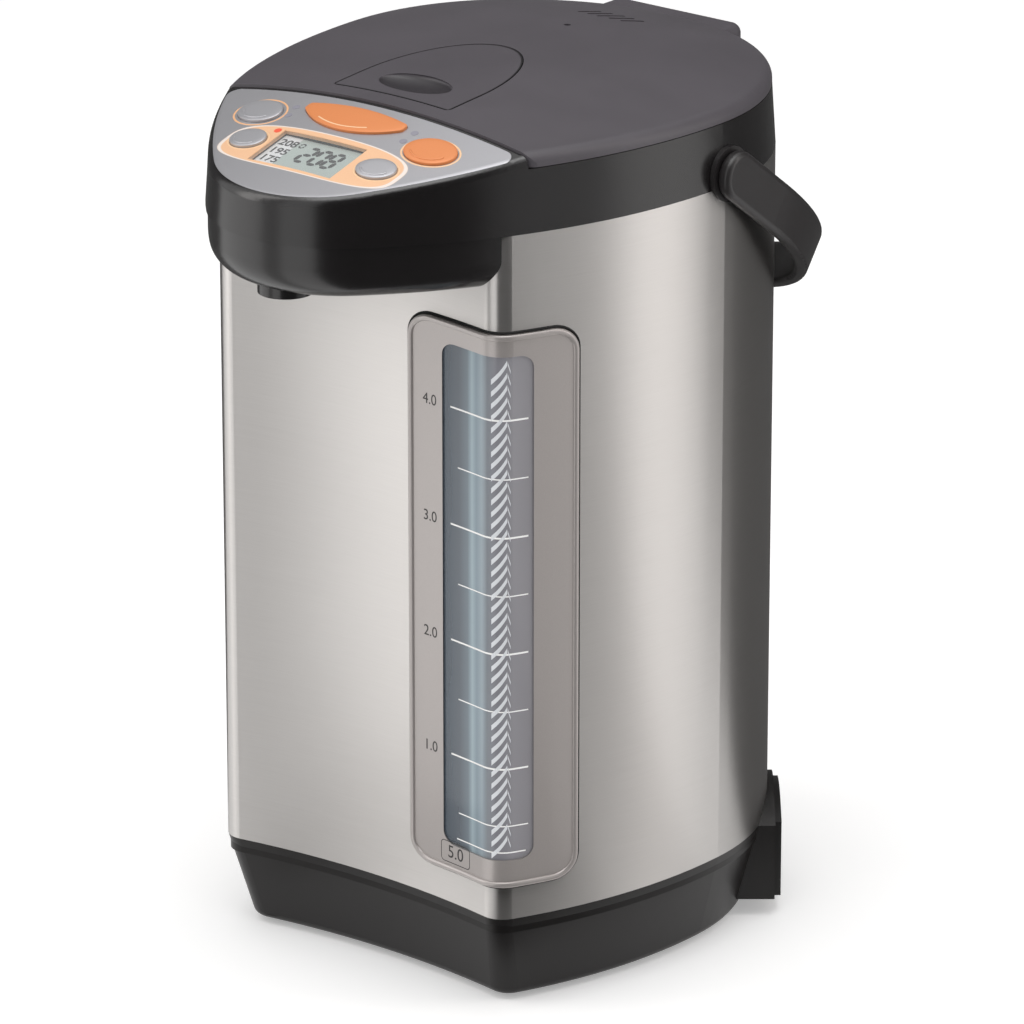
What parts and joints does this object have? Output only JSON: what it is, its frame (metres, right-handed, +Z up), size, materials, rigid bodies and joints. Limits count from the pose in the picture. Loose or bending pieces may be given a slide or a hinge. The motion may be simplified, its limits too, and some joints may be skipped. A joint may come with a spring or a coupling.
{
  "type": "electric thermo pot",
  "caption": "Electric thermo pot: steel-skinned vacuum vessel with heater, pump, beak-shaped pouring head with buttons and display, hinged lid, carrying handle and swivel base.",
  "frame": {"origin": "on the table, on the axis of the vessel, centre of the swivel base", "axes": "+Z up, -Y towards the beak and the control panel, +X the side of the wrap-round level window"},
  "size_m": [0.203, 0.2701, 0.348],
  "materials": {
    "steel_skin": "satin steel, brushed round the body",
    "head_plastic": "dark grey, semi-gloss",
    "lid_plastic": "dark grey with a violet tint, satin",
    "base_plastic": "black, fine satin",
    "handle_plastic": "dark grey, satin",
    "frame_paint": "warm grey, satin",
    "window_clear": "clear plastic, polished",
    "gauge_glass": "clear glass",
    "backing_white": "light grey",
    "panel_silver": "silver, satin",
    "button_silver": "silver grey, satin",
    "button_orange": "orange, satin",
    "lcd_clear": "clear, polished",
    "lcd_cell": "grey green",
    "board_green": "circuit board",
    "component_black": "black",
    "inner_steel": "satin steel",
    "heater_alu": "cast, grey",
    "silicone": "milky silicone",
    "pump_plastic": "grey",
    "motor_steel": "plated",
    "rotor_copper": "wound copper",
    "pin_steel": "bright steel",
    "foot_rubber": "black rubber",
    "light_guide": "pale light guides",
    "contact_brass": "brass"
  },
  "bodies": {
    "pot": {"outer_skin": "steel_skin", "window_frame": "frame_paint", "window_lens": "window_clear", "gauge_backing": "backing_white", "gauge_tube": "gauge_glass", "base_shell": "base_plastic", "base_screws": "pin_steel", "bottom_plate": "base_plastic", "power_board": "board_green", "power_components": "component_black", "plug_receptacle": "base_plastic", "receptacle_pins": "contact_brass", "inner_container": "inner_steel", "vacuum_jacket": "inner_steel", "heater_ring": "heater_alu", "thermistor": "contact_brass", "pump_housing": "pump_plastic", "motor_can": "motor_steel", "intake_tube": "silicone", "riser_elbow": "silicone", "spout_hose": "silicone", "nozzle": "base_plastic", "control_panel": "panel_silver", "collar": "head_plastic", "hinge_pin": "pin_steel", "nose_cover": "head_plastic", "control_board": "board_green", "lcd_module": "lcd_cell", "lcd_lens": "lcd_clear", "indicator_lights": "light_guide", "handle_pins": "handle_plastic"},
    "swivel": {"turntable": "base_plastic", "turntable_cap": "base_plastic", "turntable_ring": "foot_rubber"},
    "rotor": {"motor_rotor": "rotor_copper"},
    "impeller": {"impeller": "pump_plastic"},
    "lid": {"lid_shell": "lid_plastic", "lid_base": "head_plastic", "lever_pin": "pin_steel", "steam_duct": "pump_plastic", "inner_lid_plate": "inner_steel", "lid_gasket": "silicone"},
    "lever": {"lid_lever": "lid_plastic"},
    "latch": {"latch_slider": "pump_plastic"},
    "handle": {"handle": "handle_plastic"},
    "reboil": {"reboil_button": "button_silver"},
    "temp_set": {"temp_set_button": "button_silver"},
    "dispense": {"dispense_button": "button_orange"},
    "unlock": {"unlock_button": "button_orange"},
    "timer": {"timer_button": "button_silver"}
  },
  "joints": [
    {"name": "lid_hinge", "type": "hinge", "parent": "pot", "child": "lid", "pos_m": [0, 0.088, 0.327], "axis": [-1, 0, 0], "range_deg": [0, 95]},
    {"name": "lever_pivot", "type": "hinge", "parent": "lid", "child": "lever", "pos_m": [0, -0.048, 0.341], "axis": [1, 0, 0], "range_deg": [0, 9], "stiffness_Nm_per_rad": 1.2, "springref_deg": -5.73},
    {"name": "latch_slide", "type": "slide", "parent": "lid", "child": "latch", "axis": [0, 1, 0], "range_m": [0, 0.0035]},
    {"name": "handle_swing", "type": "hinge", "parent": "pot", "child": "handle", "pos_m": [0, 0.002, 0.3125], "axis": [1, 0, 0], "range_deg": [0, 196]},
    {"name": "swivel_turn", "type": "hinge", "parent": "pot", "child": "swivel", "pos_m": [0, 0, 0.002], "axis": [0, 0, 1], "continuous": true},
    {"name": "motor_spin", "type": "hinge", "parent": "pot", "child": "rotor", "pos_m": [0.03, -0.045, 0.018], "axis": [0, 0, 1], "continuous": true},
    {"name": "impeller_spin", "type": "hinge", "parent": "pot", "child": "impeller", "pos_m": [0.03, -0.045, 0.035], "axis": [0, 0, 1], "continuous": true},
    {"name": "reboil_press", "type": "slide", "parent": "pot", "child": "reboil", "axis": [0, 0.2538, -0.9673], "range_m": [0, 0.0007], "stiffness_N_per_m": 900},
    {"name": "temp_set_press", "type": "slide", "parent": "pot", "child": "temp_set", "axis": [0, 0.2538, -0.9673], "range_m": [0, 0.0007], "stiffness_N_per_m": 900},
    {"name": "dispense_press", "type": "slide", "parent": "pot", "child": "dispense", "axis": [0, 0.2538, -0.9673], "range_m": [0, 0.0007], "stiffness_N_per_m": 900},
    {"name": "unlock_press", "type": "slide", "parent": "pot", "child": "unlock", "axis": [0, 0.2538, -0.9673], "range_m": [0, 0.0007], "stiffness_N_per_m": 900},
    {"name": "timer_press", "type": "slide", "parent": "pot", "child": "timer", "axis": [0, 0.2538, -0.9673], "range_m": [0, 0.0007], "stiffness_N_per_m": 900}
  ],
  "couplings": [
    {"joint": "latch_slide", "follows": "lever_pivot", "m_per_rad": 0.021},
    {"joint": "impeller_spin", "follows": "motor_spin", "ratio": 1}
  ]
}
